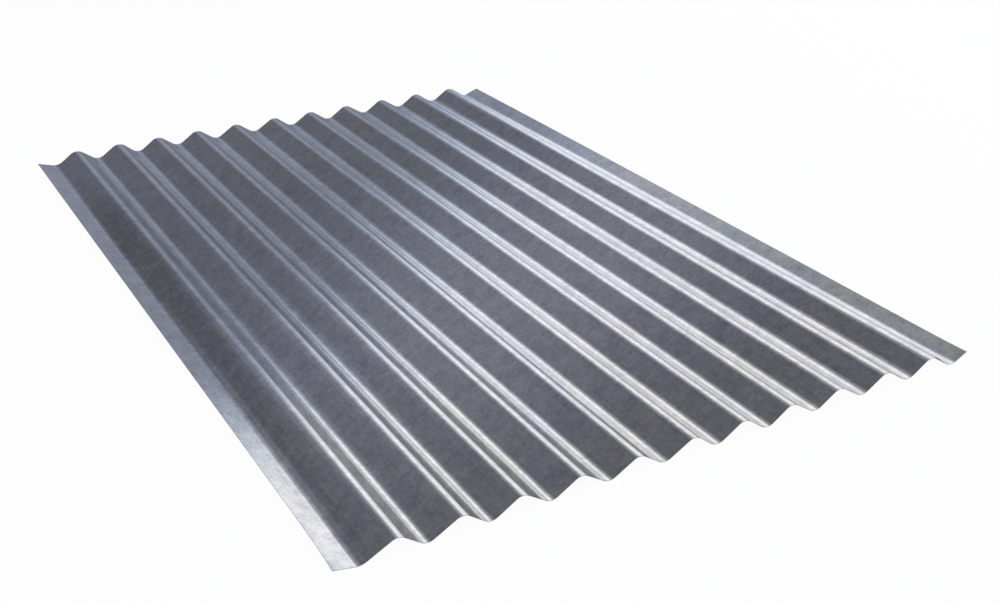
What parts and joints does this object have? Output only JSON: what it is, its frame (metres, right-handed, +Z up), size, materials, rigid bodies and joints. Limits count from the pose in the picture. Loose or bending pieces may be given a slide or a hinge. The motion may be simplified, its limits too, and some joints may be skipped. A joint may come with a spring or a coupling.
{
  "type": "corrugated metal sheet",
  "caption": "Plain galvanised corrugated steel sheet with small rounded waves, square sheared ends and free side edges that turn slightly up.",
  "frame": {"origin": "centre of the sheet in plan, on the plane that its valleys rest on", "axes": "+X across the waves, +Y along the waves, +Z up, on the side that the free edges turn towards"},
  "size_m": [0.9002, 1.32, 0.0194],
  "materials": {
    "galvanised_steel": "hot-dip galvanised, semi-bright, with fine zinc grain and rolling streaks along the waves"
  },
  "bodies": {
    "root": {"corrugated_sheet": "galvanised_steel"}
  },
  "joints": []
}
